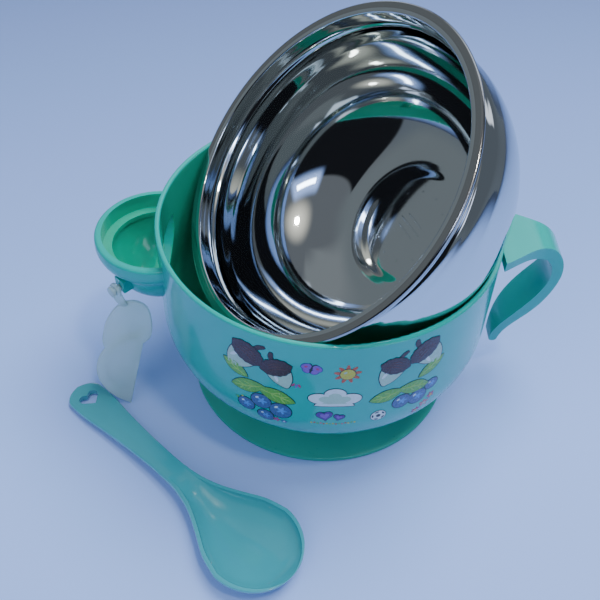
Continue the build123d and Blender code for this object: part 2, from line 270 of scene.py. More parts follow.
# ---------------------------------------------------------------- materials
def bowl_matrix():
    """Frame of the leaning steel bowl: z along its axis, at the middle of its rim."""
    axis = direction(BOWL_AZIMUTH, BOWL_ELEVATION)
    side = direction(BOWL_AZIMUTH + 90.0)
    place = Matrix((side, axis.cross(side), axis)).transposed().to_4x4()
    place.translation = BOWL_CENTRE * MM
    return place


class Nodes:
    """Node tree of a material or of the world, with a method for each kind of node."""

    def __init__(self, tree):
        self.nodes = tree.nodes
        self.links = tree.links

    def put(self, socket, value):
        """Give a socket a constant, or link another node's output to it."""
        if isinstance(value, bpy.types.NodeSocket):
            self.links.new(value, socket)
        else:
            socket.default_value = value

    def add(self, kind, inputs):
        """New node with its inputs set or linked."""
        node = self.nodes.new("ShaderNode" + kind)
        for name, value in inputs.items():
            self.put(node.inputs[name], value)
        return node

    def space(self, scale=(1, 1, 1), frame=None):
        """Object coordinates, scaled or read in a frame, as the place where every texture is read."""
        where = self.nodes.new("ShaderNodeTexCoord").outputs["Object"]
        mapping = self.add("Mapping", {"Scale": scale, "Vector": where})
        if frame is not None:
            mapping.vector_type = "TEXTURE"
            mapping.inputs["Location"].default_value = frame.translation
            mapping.inputs["Rotation"].default_value = frame.to_euler()
        return mapping.outputs["Vector"]

    def noise(self, vector, scale, detail):
        """Noise texture read at a vector."""
        inputs = {"Scale": scale, "Detail": detail, "Vector": vector}
        return self.add("TexNoise", inputs).outputs["Fac"]

    def ranged(self, value, low, high, start=0.3, end=0.7):
        """A value between start and end, spread over low to high."""
        inputs = {"From Min": start, "From Max": end, "To Min": low, "To Max": high, "Value": value}
        return self.add("MapRange", inputs).outputs["Result"]

    def length(self, vector):
        """Length of a vector."""
        node = self.nodes.new("ShaderNodeVectorMath")
        node.operation = "LENGTH"
        self.links.new(vector, node.inputs[0])
        return node.outputs["Value"]

    def mix(self, factor, first, second):
        """Two colours mixed by a factor."""
        node = self.nodes.new("ShaderNodeMix")
        node.data_type = "RGBA"
        self.put(node.inputs["Factor"], factor)
        for name, value in (("A", first), ("B", second)):
            self.put(node.inputs[name], (*value, 1.0) if isinstance(value, tuple) else value)
        return node.outputs["Result"]


class Material(Nodes):
    """Procedural material with one principled shader."""

    def __init__(self, name):
        self.data = bpy.data.materials.new(name)
        self.data.use_nodes = True
        super().__init__(self.data.node_tree)
        self.shader = self.nodes["Principled BSDF"]

    def shade(self, inputs):
        """Set or link the shader's inputs."""
        for name, value in inputs.items():
            self.put(self.shader.inputs[name], value)

    def bump(self, height, strength, distance):
        """Bump on the shader from a height value."""
        node = self.add("Bump", {"Strength": strength, "Distance": distance, "Height": height})
        self.shade({"Normal": node.outputs["Normal"]})


def moulded_plastic(name, colour, shade, roughness, coat=0.0, through=0.0):
    """Injection-moulded plastic: faint flow clouding, orange-peel ripple, fine scuffs in the gloss."""
    plastic = Material(name)
    where = plastic.space()
    cloud = plastic.ranged(plastic.noise(where, 38.0, 3.0), 0, 1)
    scuff = plastic.noise(plastic.space((1, 1, 6)), 420.0, 6.0)
    plastic.shade(
        {
            "Base Color": plastic.mix(cloud, colour, shade),
            "Roughness": plastic.ranged(scuff, roughness * 0.8, roughness * 1.35),
            "IOR": 1.49,
            "Coat Weight": coat,
            "Coat Roughness": 0.015,
            "Coat IOR": 1.6,
            "Subsurface Weight": through,
            "Subsurface Radius": (0.2, 1.0, 0.8),
            "Subsurface Scale": 0.003,
        }
    )
    plastic.bump(plastic.noise(where, 260.0, 2.0), 0.12, 0.0004)
    return plastic.data


def polished_steel(name, roughness_low, roughness_high, tone, lines):
    """Spun stainless steel: mirror polish with faint circular lines and soft smears."""
    steel = Material(name)
    where = steel.space(frame=bowl_matrix())
    smear = steel.noise(where, 30.0, 5.0)
    steel.shade(
        {
            "Base Color": steel.mix(smear, tone, tuple(c * 0.93 for c in tone)),
            "Roughness": steel.ranged(smear, roughness_low, roughness_high),
            "Metallic": 1.0,
        }
    )
    # Circular spinning lines: noise read by distance from the bowl's axis and by depth.
    split = steel.add("SeparateXYZ", {"Vector": where})
    flat = steel.add("CombineXYZ", {"X": split.outputs["X"], "Y": split.outputs["Y"]})
    radius = steel.length(flat.outputs["Vector"])
    ring = steel.add("CombineXYZ", {"X": radius, "Y": split.outputs["Z"]})
    steel.bump(steel.noise(ring.outputs["Vector"], 1800.0, 2.0), lines, 0.00002)
    return steel.data


def silicone(name):
    """Milky moulded silicone that lets some light through."""
    milky = Material(name)
    where = milky.space()
    cloud = milky.noise(where, 60.0, 4.0)
    milky.shade(
        {
            "Base Color": milky.mix(milky.ranged(cloud, 0, 1), (0.74, 0.86, 0.84), (0.66, 0.80, 0.76)),
            "Roughness": milky.ranged(cloud, 0.42, 0.55),
            "Transmission Weight": 0.6,
            "IOR": 1.12,
            "Subsurface Weight": 0.4,
            "Subsurface Radius": (1.0, 1.0, 1.0),
            "Subsurface Scale": 0.004,
        }
    )
    milky.bump(milky.noise(where, 900.0, 3.0), 0.15, 0.0002)
    return milky.data


def ink(name, colour):
    """Printed ink under a gloss: a fine speckle in its colour and a slightly uneven film."""
    film = Material(name)
    speckle = film.noise(film.space(), 900.0, 3.0)
    darker = tuple(c * 0.78 for c in colour)
    film.shade(
        {
            "Base Color": film.mix(film.ranged(speckle, 0, 1), colour, darker),
            "Roughness": film.ranged(speckle, 0.2, 0.34),
        }
    )
    film.bump(speckle, 0.1, 0.0001)
    return film.data


shell_plastic = moulded_plastic(
    "shell_plastic", (0.006, 0.42, 0.35), (0.005, 0.39, 0.325), 0.15, coat=0.2, through=0.12
)
# Shell plastic painted greener for the faces inside the cavity and port: painted shade and bounced light.
cavity_painted_shade_plastic = moulded_plastic(
    "cavity_painted_shade_plastic", (0.008, 0.44, 0.28), (0.006, 0.40, 0.25), 0.14, coat=0.35, through=0.2
)
base_rubber = moulded_plastic(
    "base_rubber", (0.016, 0.385, 0.285), (0.013, 0.345, 0.255), 0.34, through=0.1
)
hidden_plastic = moulded_plastic("hidden_plastic", (0.06, 0.44, 0.40), (0.05, 0.38, 0.35), 0.45)
spoon_plastic = moulded_plastic(
    "spoon_plastic", (0.050, 0.37, 0.42), (0.044, 0.34, 0.39), 0.12, coat=0.9, through=0.08
)
mirror_steel = polished_steel("mirror_steel", 0.03, 0.065, (0.64, 0.675, 0.685), 0.12)
satin_steel = polished_steel("satin_steel", 0.12, 0.22, (0.45, 0.445, 0.44), 0.4)
clear_silicone = silicone("clear_silicone")


dark_ink = ink("dark_ink", (0.012, 0.012, 0.02))
brown_ink = ink("brown_ink", (0.055, 0.014, 0.015))
rust_ink = ink("rust_ink", (0.11, 0.035, 0.03))
cream_ink = ink("cream_ink", (0.42, 0.62, 0.50))
lime_ink = ink("lime_ink", (0.13, 0.42, 0.05))
pale_lime_ink = ink("pale_lime_ink", (0.33, 0.62, 0.10))
slate_ink = ink("slate_ink", (0.07, 0.12, 0.32))
navy_ink = ink("navy_ink", (0.006, 0.016, 0.28))
sky_ink = ink("sky_ink", (0.10, 0.30, 0.75))
white_ink = ink("white_ink", (0.72, 0.82, 0.85))
yellow_ink = ink("yellow_ink", (0.60, 0.55, 0.05))
orange_ink = ink("orange_ink", (0.55, 0.10, 0.04))
pink_ink = ink("pink_ink", (0.50, 0.03, 0.17))
rose_ink = ink("rose_ink", (0.60, 0.14, 0.20))
violet_ink = ink("violet_ink", (0.26, 0.09, 0.52))
purple_ink = ink("purple_ink", (0.10, 0.025, 0.30))


# ---------------------------------------------------------------- steel bowl
COLLAR = 63.2
FLANGE = 67.2
BULGE = 64.5
BULGE_DEPTH = 20.0
DEPTH = 62.0
BASE = 26.0
STEEL = 0.8
BASE_RISE = 0.25
BASE_STEP = 4.5
STAMP_RING = 15.5


def bowl_wall(inset):
    """Half section of the steel bowl below its flange, from the rim to the middle of the base."""
    collar = COLLAR - inset
    points = [(collar, -1.9), (collar, -2.6)]
    points += curve_through(
        [
            (collar, -2.6),
            (collar - 0.1, -5.6),
            (collar - 0.35, -7.0),
            (collar - 1.1, -8.3),
            (collar - 0.3, -9.6),
            (collar + 0.25, -11.6),
            (collar + 0.85, -14.5),
            (BULGE - inset, -BULGE_DEPTH),
        ],
        8,
    )[1:]
    reach = (BULGE - BASE - inset, DEPTH - BULGE_DEPTH - inset)
    points += arc((BASE, -BULGE_DEPTH), reach, 0, -88, 56)[1:]
    floor = inset - DEPTH
    # Soft step up round the edge of the flat middle.
    for k in range(21):
        share = k / 20
        rise = BASE_RISE * (3 * share**2 - 2 * share**3)
        points.append((BASE - 0.6 - BASE_STEP * share, floor + rise))
    inner = BASE - 0.6 - BASE_STEP
    points += [(inner * (1 - k / 5), floor + BASE_RISE) for k in range(1, 5)]
    points.append((0.0, floor + BASE_RISE))
    return points


def make_steel_bowl():
    """Mirror-polished bowl with a rolled satin flange, in its leaning place."""
    roll = 0.9
    flange = [(COLLAR - STEEL, -1.9), (COLLAR - STEEL, -0.9)]
    flange += arc((COLLAR - STEEL + 0.6, -0.75), (0.6, 0.6), 180, 95, 5)
    flange += [(COLLAR + 1.0, -0.12), (COLLAR + 2.2, 0.0)]
    flange += arc((FLANGE - roll, -roll), (roll, roll), 90, -90, 14)
    flange += arc((FLANGE - roll, -roll), (0.55, 0.55), -110, -200, 5)
    flange += [(COLLAR + 1.2, -0.85), (COLLAR + 0.3, -1.1), (COLLAR, -1.9)]
    inside = bowl_wall(STEEL)
    outside = bowl_wall(0.0)
    profile = inside[::-1] + flange[1:-1] + outside
    bowl = lathe("steel_bowl", profile, mirror_steel, 256)
    bowl.data.materials.append(satin_steel)
    for face in bowl.data.polygons:
        radius = sqrt(face.center.x**2 + face.center.y**2)
        if radius > (COLLAR + 0.4) * MM and face.center.z > -2.0 * MM:
            face.material_index = 1
    bowl.data.transform(bowl_matrix())
    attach(bowl, "bowl")
    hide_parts("inner_bowl")
    make_stamp()
    return bowl


def polar_point(reach, turn):
    """Point at a distance from the middle, at an angle in degrees."""
    return reach * cos(radians(turn)), reach * sin(radians(turn))


def make_stamp():
    """Faint generic stamp in the middle of the base: a ring of dots and three bars."""
    level = STEEL - DEPTH + BASE_RISE
    marks = []
    for rise, half in ((3.0, 5.0), (0.0, 7.0), (-3.0, 5.0)):
        marks.append(stroke([(-half, rise), (-half / 3, rise), (half / 3, rise), (half, rise)], 0.75))
    for k in range(12):
        marks.append(ellipse(*polar_point(STAMP_RING, 30 * k), 0.45, 0.45, steps=14))
    pieces = [rounded_slab("mark", mark, level + 0.08, level - 0.3, 0.08, mirror_steel) for mark in marks]
    build = bmesh.new()
    for piece in pieces:
        build.from_mesh(piece.data)
        bpy.data.objects.remove(piece)
    mesh = bpy.data.meshes.new("base_stamp")
    build.to_mesh(mesh)
    build.free()
    mesh.materials.append(mirror_steel)
    stamp = new_object("base_stamp", mesh)
    smooth_by_angle(stamp, 50)
    stamp.data.transform(bowl_matrix())
    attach(stamp, "bowl")


# ---------------------------------------------------------------- suction base
def make_suction_base():
    """Soft dish with a thick hub, its lip flat on the table."""
    profile = [(8.2, 13.9), (30.0, 13.9)]
    profile += curve_through([(30.0, 13.9), (33.0, 13.75), (40.0, 9.6), (48.0, 5.3), (55.4, 2.15)], 8)[1:]
    profile += arc((55.75, 1.0), (0.95, 1.0), 75, -90, 10)
    profile += [(54.4, 0.0), (53.6, 0.02)]
    profile += curve_through([(53.6, 0.02), (46.0, 3.4), (36.0, 7.6), (26.0, 9.4)], 8)[1:]
    profile += [(14.0, 9.42), (8.2, 9.42)]
    cup = lathe("suction_dish", profile, base_rubber)
    smooth_by_angle(cup, 50)
    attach(cup, "shell")
    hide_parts("suction_cup")
    return cup


# ---------------------------------------------------------------- spoon
END_RADIUS_LONG = 6.5
END_HALF_WIDTH = 8.0
DISH_START = 66.0
DISH_WIDEST = 109.0
DISH_HALF_WIDTH = 19.4


def station_values(table, s):
    """Smooth value at a distance along the spoon, from a short table."""
    places = [row[0] for row in table]
    values = [row[1] for row in table]
    slopes = np.gradient(values, places)
    k = int(np.clip(np.searchsorted(places, s) - 1, 0, len(places) - 2))
    width = places[k + 1] - places[k]
    t = min(max((s - places[k]) / width, 0.0), 1.0)
    h00, h10 = 2 * t**3 - 3 * t**2 + 1, t**3 - 2 * t**2 + t
    h01, h11 = 3 * t**2 - 2 * t**3, t**3 - t**2
    return h00 * values[k] + h10 * width * slopes[k] + h01 * values[k + 1] + h11 * width * slopes[k + 1]


# Sizes along the spoon: each row is a distance from its end and a value there.
SPOON_WIDTHS = (
    (END_RADIUS_LONG, END_HALF_WIDTH), (13.0, END_HALF_WIDTH), (30.0, 6.4), (48.0, 5.2), (60.0, 4.9),
    (72.0, 5.6), (82.0, 8.2), (91.0, 12.4), (100.0, 17.0), (DISH_WIDEST, DISH_HALF_WIDTH),
)
SPOON_TOP = ((0.0, 3.2), (30.0, 5.6), (60.0, 8.0), (76.0, 8.6), (90.0, 8.7), (SPOON_LENGTH, 8.7))
SPOON_THICKNESS = (
    (0.0, 2.7), (30.0, 3.0), (60.0, 3.4), (74.0, 3.9), (82.0, 5.2), (91.0, 7.3),
    (100.0, 8.4), (DISH_WIDEST, 8.5), (118.0, 7.5), (125.0, 5.2), (SPOON_LENGTH, 1.7),
)
SPOON_HOLLOW = (
    (DISH_START, 0.0), (74.0, 0.5), (82.0, 3.0), (91.0, 5.6), (100.0, 6.7),
    (DISH_WIDEST, 6.8), (118.0, 5.8), (125.0, 3.4), (SPOON_LENGTH, 0.0),
)


def spoon_half_width(s):
    """Half width of the spoon's outline: a round end, a waist and an egg-shaped dish."""
    if s < END_RADIUS_LONG:
        return END_HALF_WIDTH * sqrt(max(1 - ((END_RADIUS_LONG - s) / END_RADIUS_LONG) ** 2, 0.0))
    if s > DISH_WIDEST:
        share = (s - DISH_WIDEST) / (SPOON_LENGTH - DISH_WIDEST)
        return DISH_HALF_WIDTH * sqrt(max(1 - share**2, 0.0))
    return station_values(SPOON_WIDTHS, s)


def spoon_section(s):
    """Closed cross-section of the spoon, as (across, up) points in the same order at every station."""
    half = max(spoon_half_width(s), 0.02)
    top = station_values(SPOON_TOP, s)
    thick = station_values(SPOON_THICKNESS, s)
    hollow = max(station_values(SPOON_HOLLOW, s), 0.0) if s > DISH_START else 0.0
    bead = min(1.7, half * 0.3)
    edge = min(0.55, half * 0.3)
    closing = min(1.0, half / 6.0)
    thick = thick * (0.55 + 0.45 * closing)
    # The handle's underside is boxy; the dish's is round.
    boxy = 5.0 - 3.0 * min(max((s - DISH_START) / 18.0, 0.0), 1.0)
    upper, lower = [], []
    inner = half - bead
    across = [-half + (half - inner) * k / 6 for k in range(6)]
    across += [inner * sin(radians(-90 + 180 * k / 36)) for k in range(37)]
    across += [-y for y in across[:6][::-1]]
    for y in across:
        out = abs(y) - (half - edge)
        drop = edge * (1 - sqrt(max(1 - (out / edge) ** 2, 0.0))) if out > 0 else 0.0
        share = min(abs(y) / inner, 1.0)
        scoop = hollow * sqrt(max(1 - share**2.2, 0.0))
        crown = 0.35 * (1 - (y / half) ** 2) if hollow == 0.0 else 0.0
        sunk = 0.35 if hollow == 0.0 else 0.0
        upper.append((y, top - sunk + crown - drop - scoop))
    for k in range(1, 48):
        turn = radians(180 * k / 48)
        y = half * cos(turn)
        depth = (1 - abs(y / half) ** boxy) ** (1 / boxy)
        lower.append((y, top - edge - (thick - edge) * depth))
    return upper + lower


def make_spoon():
    """Glossy plastic spoon with a rim bead round its dish and a heart-shaped hanging hole."""
    near = [END_RADIUS_LONG * (1 - cos(radians(90 * k / 12))) for k in range(13)]
    middle = list(np.arange(8.0, DISH_WIDEST, 1.5))
    far = [DISH_WIDEST + (SPOON_LENGTH - DISH_WIDEST) * sin(radians(90 * k / 26)) for k in range(27)]
    stations = near + middle + far
    vertices, faces = [], []
    for s in stations:
        for across, up in spoon_section(float(s)):
            vertices.append((float(s), across, up))
    count = len(spoon_section(50.0))
    for ring in range(len(stations) - 1):
        for k in range(count):
            n = (k + 1) % count
            first = ring * count
            faces.append((first + k, first + n, first + count + n, first + count + k))
    faces.append(tuple(range(count)))
    faces.append(tuple(range(len(vertices) - count, len(vertices))))
    spoon = mesh_object("feeding_spoon", vertices, faces, spoon_plastic)
    # Heart-shaped cutter, its point towards the dish.
    lobe = curve_through([(7.1, 0), (5.9, 2.3), (7.2, 4.2), (9.4, 4.0), (11.4, 2.0), (13.2, 0)], 6)
    outline = lobe + [(x, -y) for x, y in lobe[-2:0:-1]]
    corners = [(x, y, -2.0) for x, y in outline] + [(x, y, 12.0) for x, y in outline]
    size = len(outline)
    sides = [(k, (k + 1) % size, size + (k + 1) % size, size + k) for k in range(size)]
    ends = [tuple(range(size)), tuple(range(size, 2 * size))]
    cutter = mesh_object("heart_cutter", corners, sides + ends, spoon_plastic)
    combine(spoon, cutter, "DIFFERENCE")
    smooth_by_angle(spoon, 40)
    move = Matrix.Translation((SPOON_END[0] * MM, SPOON_END[1] * MM, 0))
    spoon.data.transform(move @ Matrix.Rotation(radians(SPOON_ANGLE), 4, "Z"))
    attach(spoon, "spoon")
    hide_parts("spoon")
    return spoon


# ---------------------------------------------------------------- printed motifs
PRINT_STEP = 1.6
PRINT_LIFT = 0.05
PRINT_LAYER = 0.035
PRINT_DEPTH = 0.3


def belly_radius(height):
    """Outer radius of the shell's wall at a height."""
    if height >= BELLY_TOP:
        return RIM_RADIUS
    share = (BELLY_TOP - height) / (BELLY_TOP - FOOT_HEIGHT)
    return FOOT_RADIUS + (RIM_RADIUS - FOOT_RADIUS) * sqrt(max(1 - share * share, 0.0))


def belly_slope(height):
    """How far the wall's outward normal points up at a height (it points down under the straight part)."""
    if height >= BELLY_TOP:
        return 0.0
    step = 0.05
    run = (belly_radius(height + step) - belly_radius(height - step)) / (2 * step)
    return -run / sqrt(1 + run * run)


def belly_place(azimuth, height, x, y, lift):
    """Point on the belly, x to the right and y up from a place, at a lift from the surface."""
    z = height + y
    tilt = belly_slope(z)
    out = belly_radius(z) + lift * sqrt(1 - tilt * tilt)
    turn = radians(azimuth) + x / RIM_RADIUS
    return (out * cos(turn), out * sin(turn), z + lift * tilt)


def print_on_belly(name, azimuth, height, shapes):
    """Ink film laid on the curved belly: each shape is an outline in millimetres, an ink and a layer."""
    inks, vertices, faces, kinds = [], [], [], []
    for outline, colour, layer in shapes:
        if colour not in inks:
            inks.append(colour)
        flat = bmesh.new()
        face = flat.faces.new([flat.verts.new((x, y, 0)) for x, y in outline])
        flat.normal_update()
        bmesh.ops.triangulate(flat, faces=[face], ngon_method="EAR_CLIP")
        for side in (0, 1):
            low = min(v.co[side] for v in flat.verts)
            high = max(v.co[side] for v in flat.verts)
            cut = low + PRINT_STEP
            while cut < high - 0.05:
                place, normal = [0.0, 0.0, 0.0], [0.0, 0.0, 0.0]
                place[side], normal[side] = cut, 1.0
                everything = list(flat.verts) + list(flat.edges) + list(flat.faces)
                bmesh.ops.bisect_plane(flat, geom=everything, dist=1e-5, plane_co=place, plane_no=normal)
                cut += PRINT_STEP
        flat.verts.index_update()
        first, size = len(vertices), len(flat.verts)
        lift = PRINT_LIFT + PRINT_LAYER * layer
        for depth in (lift, lift - PRINT_DEPTH):
            vertices += [belly_place(azimuth, height, v.co.x, v.co.y, depth) for v in flat.verts]
        for patch in flat.faces:
            ring = [first + v.index for v in patch.verts]
            faces.append(tuple(ring))
            faces.append(tuple(k + size for k in ring[::-1]))
            kinds += [inks.index(colour)] * 2
        for line in flat.edges:
            if line.is_boundary:
                a, b = (first + v.index for v in line.verts)
                faces.append((a, b, b + size, a + size))
                kinds.append(inks.index(colour))
        flat.free()
    mesh = bpy.data.meshes.new(name)
    mesh.from_pydata([tuple(c * MM for c in v) for v in vertices], [], faces)
    for colour in inks:
        mesh.materials.append(colour)
    mesh.polygons.foreach_set("material_index", kinds)
    build = bmesh.new()
    build.from_mesh(mesh)
    bmesh.ops.recalc_face_normals(build, faces=build.faces)
    build.to_mesh(mesh)
    build.free()
    piece = new_object(name, mesh)
    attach(piece, "shell")
    return piece


def outlined(outline, colour, layer=1, rim=0.32):
    """A shape with a dark line round it."""
    return [(grown(outline, rim), dark_ink, layer - 1), (outline, colour, layer)]


def leaf(x, y, length, width, turn):
    """Leaf outline with two pointed ends."""
    upper = [(length * (k / 14 - 0.5), width / 2 * sin(pi * k / 14) ** 0.8) for k in range(15)]
    lower = [(px, -py) for px, py in upper[-2:0:-1]]
    return placed(upper + lower, x, y, turn)


def leaf_shapes(x, y, length, width, turn):
    """Lime leaf with a paler middle vein and two side veins."""
    shapes = outlined(leaf(x, y, length, width, turn), lime_ink, 2, 0.25)
    vein = stroke([(-length * 0.4, 0), (0, 0.25), (length * 0.4, 0)], 0.5)
    shapes.append((placed(vein, x, y, turn), pale_lime_ink, 3))
    for along in (-0.12, 0.12):
        line = ((along, 0.1), (along + 0.08, width * 0.18), (along + 0.17, width * 0.3))
        vein = stroke([(length * share, up) for share, up in line], 0.4)
        shapes.append((placed(vein, x, y, turn), pale_lime_ink, 3))
        shapes.append((placed([(px, -py) for px, py in vein][::-1], x, y, turn), pale_lime_ink, 3))
    return shapes


def acorn_shapes(x, y, size, turn):
    """Acorn with a brown cap, a cream nut and a short stalk; it points down at no turn."""
    half = [(3.6, 0.6), (3.5, -1.6), (2.6, -4.2), (1.1, -6.2)]
    nut = curve_through(half + [(0, -7.0)] + [(-px, py) for px, py in half[::-1]], 4)
    cap = polar(0, 1.4, lambda a: 4.7 - 1.5 * abs(sin(a)) + 0.12 * cos(12 * a))
    stalk = stroke([(0, 4.2), (0.3, 5.8), (1.1, 7.2)], 1.1)
    shapes = outlined(placed(stalk, x, y, turn, size), brown_ink, 1)
    shapes += outlined(placed(nut, x, y, turn, size), cream_ink, 2)
    shapes.append((placed(ellipse(-1.5, -2.4, 0.5, 1.7, -8), x, y, turn, size), white_ink, 3))
    shapes += outlined(placed(cap, x, y, turn, size), brown_ink, 4)
    for k in range(3):
        band = stroke([(-3.0 + 0.5 * k, 0.4 + k), (0, 0.9 + k * 1.05), (3.0 - 0.5 * k, 0.4 + k)], 0.35)
        shapes.append((placed(band, x, y, turn, size), rust_ink, 5))
    return shapes


def berry_shapes(x, y, radius):
    """Slate-blue berry with a star-shaped crown and a highlight."""
    shapes = outlined(ellipse(x, y, radius, radius), slate_ink, 2)
    crown = polar(x + radius * 0.1, y + radius * 0.05, lambda a: radius * (0.36 + 0.16 * cos(5 * a)))
    shapes.append((crown, sky_ink, 3))
    glint = ellipse(x - radius * 0.4, y + radius * 0.4, radius * 0.2, radius * 0.13, 40)
    shapes.append((glint, white_ink, 3))
    return shapes


def star(x, y, radius, turn=0.0):
    """Five-pointed star."""
    around = []
    for k in range(10):
        reach = radius if k % 2 == 0 else radius * 0.3
        around.append((reach * cos(pi / 2 + pi * k / 5), reach * sin(pi / 2 + pi * k / 5)))
    return placed(around, x, y, turn)


def heart(x, y, size, turn=0.0):
    """Heart outline."""
    around = []
    for k in range(40):
        a = 2 * pi * k / 40
        px = 16 * sin(a) ** 3
        py = 13 * cos(a) - 5 * cos(2 * a) - 2 * cos(3 * a) - cos(4 * a)
        around.append((px / 32, (py + 2.5) / 32))
    return placed(around, x, y, turn, size)


def flower_shapes(x, y, radius, petals, middle, turn=0.0):
    """Flower with round petals and a round middle."""
    shapes = [(polar(x, y, lambda a: radius * (0.74 + 0.26 * cos(5 * a)), turn), petals, 1)]
    shapes.append((ellipse(x, y, radius * 0.3, radius * 0.3), middle, 2))
    return shapes


def enlarged(shapes, size, turn=0.0):
    """A group of shapes turned and scaled about its own middle."""
    return [(placed(outline, 0, 0, turn, size), colour, layer) for outline, colour, layer in shapes]


def make_sprigs():
    """Two sprigs of acorns, leaves and berries, one each side of the cloud."""
    left = leaf_shapes(-9.0, 1.5, 10.5, 5.2, 150) + leaf_shapes(-4.6, -5.4, 13.0, 6.2, 200)
    left += leaf_shapes(5.4, -6.2, 13.5, 6.4, -16)
    left += acorn_shapes(-5.6, 9.6, 1.32, -38) + acorn_shapes(5.8, 6.6, 1.16, 24)
    left += berry_shapes(0.2, -11.2, 3.5) + berry_shapes(7.0, -13.6, 3.7)
    left += berry_shapes(-5.2, -15.4, 3.0) + berry_shapes(1.8, -18.3, 2.8)
    print_on_belly("print_left_sprig", 247.0, 62.5, enlarged(left, 1.12))
    right = leaf_shapes(9.4, 0.6, 11.5, 5.2, 34) + leaf_shapes(3.6, -6.8, 12.5, 6.2, -14)
    right += leaf_shapes(-6.6, -7.2, 12.0, 6.0, 192)
    right += acorn_shapes(6.4, 9.6, 1.3, 40) + acorn_shapes(-5.6, 6.4, 1.16, -22)
    right += berry_shapes(-0.6, -12.6, 3.3) + berry_shapes(5.8, -13.4, 3.5)
    right += berry_shapes(11.2, -9.8, 2.6)
    print_on_belly("print_right_sprig", 292.8, 64.0, enlarged(right, 1.1))


def cloud_outline():
    """Three round lobes over a flat base."""
    around = [2 * pi * k / 120 for k in range(120)]
    edges = [0.72 + 0.38 * abs(cos(2.5 * (a - pi / 2))) ** 0.85 for a in around]
    cloud = [(9.0 * edge * cos(a), max(6.6 * edge * sin(a), -2.8)) for a, edge in zip(around, edges)]
    return grown(grown(cloud, 0.15), -0.1)


def make_cloud():
    """Plain pale cloud with a flat base."""
    cloud = cloud_outline()
    shapes = outlined(cloud, white_ink, 2)
    shapes.append((placed(cloud, 0, 0.4, 0, 0.6), cream_ink, 3))
    print_on_belly("print_cloud", 270.3, 56.5, shapes)


def make_butterfly():
    """Violet butterfly with two pairs of wings and two feelers."""
    wings = [ellipse(-1.6, 0.9, 1.7, 1.3, 28, 24), ellipse(1.6, 0.9, 1.7, 1.3, -28, 24)]
    wings += [ellipse(-1.3, -0.9, 1.2, 0.9, -30, 20), ellipse(1.3, -0.9, 1.2, 0.9, 30, 20)]
    shapes = [(wing, violet_ink, 1) for wing in wings]
    shapes += [(grown(wing, 0.25), navy_ink, 0) for wing in wings]
    shapes += [(ellipse(-1.8, 0.9, 0.6, 0.45, 28, 16), pink_ink, 2)]
    shapes += [(ellipse(1.8, 0.9, 0.6, 0.45, -28, 16), pink_ink, 2)]
    shapes.append((ellipse(0, 0, 0.35, 1.7, 0, 20), dark_ink, 3))
    for side in (1, -1):
        feeler = stroke([(0, 1.4), (0.5 * side, 2.3), (1.2 * side, 2.7)], 0.3)
        shapes.append((feeler, dark_ink, 3))
    print_on_belly("print_butterfly", 262.5, 74.0, enlarged(shapes, 1.15, -12))


def make_sun():
    """Orange sun with nine rays and a yellow face without features."""
    shapes = [(polar(0, 0, lambda a: 3.8 + 1.15 * cos(9 * a), 10, 108), orange_ink, 1)]
    shapes += outlined(ellipse(0, 0, 2.7, 2.7), yellow_ink, 3, 0.25)
    shapes.append((ellipse(-0.9, 0.9, 0.7, 0.45, 40, 18), cream_ink, 4))
    print_on_belly("print_sun", 273.4, 72.0, shapes)


def make_hearts_and_ball():
    """Two hearts under the cloud, and a ball with dark patches."""
    hearts = outlined(heart(-2.0, 0.3, 6.0, 10), purple_ink, 2, 0.25)
    hearts += [(heart(-2.0, 0.4, 3.4, 10), violet_ink, 3)]
    hearts += outlined(heart(3.2, -0.4, 4.0, -12), purple_ink, 2, 0.25)
    hearts += [(heart(3.2, -0.3, 2.1, -12), violet_ink, 3)]
    print_on_belly("print_hearts", 269.3, 47.0, hearts)
    ball = outlined(ellipse(0, 0, 2.9, 2.9), white_ink, 2, 0.25)
    ball += [(polar(0, 0, lambda a: 1.0, 18, 5), dark_ink, 3)]
    for k in range(5):
        turn = radians(108 + 72 * k)
        patch = ellipse(2.2 * cos(turn), 2.2 * sin(turn), 0.36, 0.85, degrees(turn), 16)
        ball.append((patch, dark_ink, 3))
    print_on_belly("print_ball", 284.8, 45.0, ball)


def make_flowers():
    """A chain of three flowers, two small flowers and loose petals."""
    chain = flower_shapes(-2.6, -2.9, 2.0, pink_ink, yellow_ink)
    chain += flower_shapes(0.6, 0.2, 2.3, rose_ink, cream_ink, 20)
    chain += flower_shapes(3.2, 3.6, 1.9, pink_ink, yellow_ink, 40)
    stem = stroke([(-2.6, -2.9), (-0.6, -1.8), (0.6, 0.2), (2.4, 1.4), (3.2, 3.6)], 0.5)
    chain.append((stem, violet_ink, 0))
    print_on_belly("print_flowers", 301.3, 42.0, chain)
    small = flower_shapes(-1.3, 0.2, 1.5, pink_ink, violet_ink)
    small += flower_shapes(1.6, -0.2, 1.3, slate_ink, white_ink, 15)
    print_on_belly("print_small_flowers", 253.5, 40.7, small)
    petals = [(ellipse(-1.1, 0.4, 1.0, 0.45, 55, 18), pink_ink, 1)]
    petals.append((ellipse(0.1, 0.0, 1.0, 0.45, 75, 18), violet_ink, 1))
    petals.append((ellipse(1.2, 0.3, 1.0, 0.45, 110, 18), pink_ink, 1))
    print_on_belly("print_petals", 258.3, 63.7, petals)


def make_dots():
    """Curved row of coloured dots, and two small stars."""
    row = []
    order = (yellow_ink, orange_ink, lime_ink, rose_ink, orange_ink, yellow_ink, lime_ink)
    for k in range(15):
        rise = 0.014 * (k - 7) ** 2 + 0.35 * (k % 2)
        row.append((ellipse(1.15 * (k - 7), rise, 0.42, 0.42, steps=14), order[k % 7], 1))
    print_on_belly("print_dots", 270.4, 42.4, row)
    sparkle = [(star(0, 0, 1.1), lime_ink, 1), (star(2.0, 1.6, 0.7, 20), yellow_ink, 1)]
    print_on_belly("print_sparkle", 239.0, 47.0, sparkle)


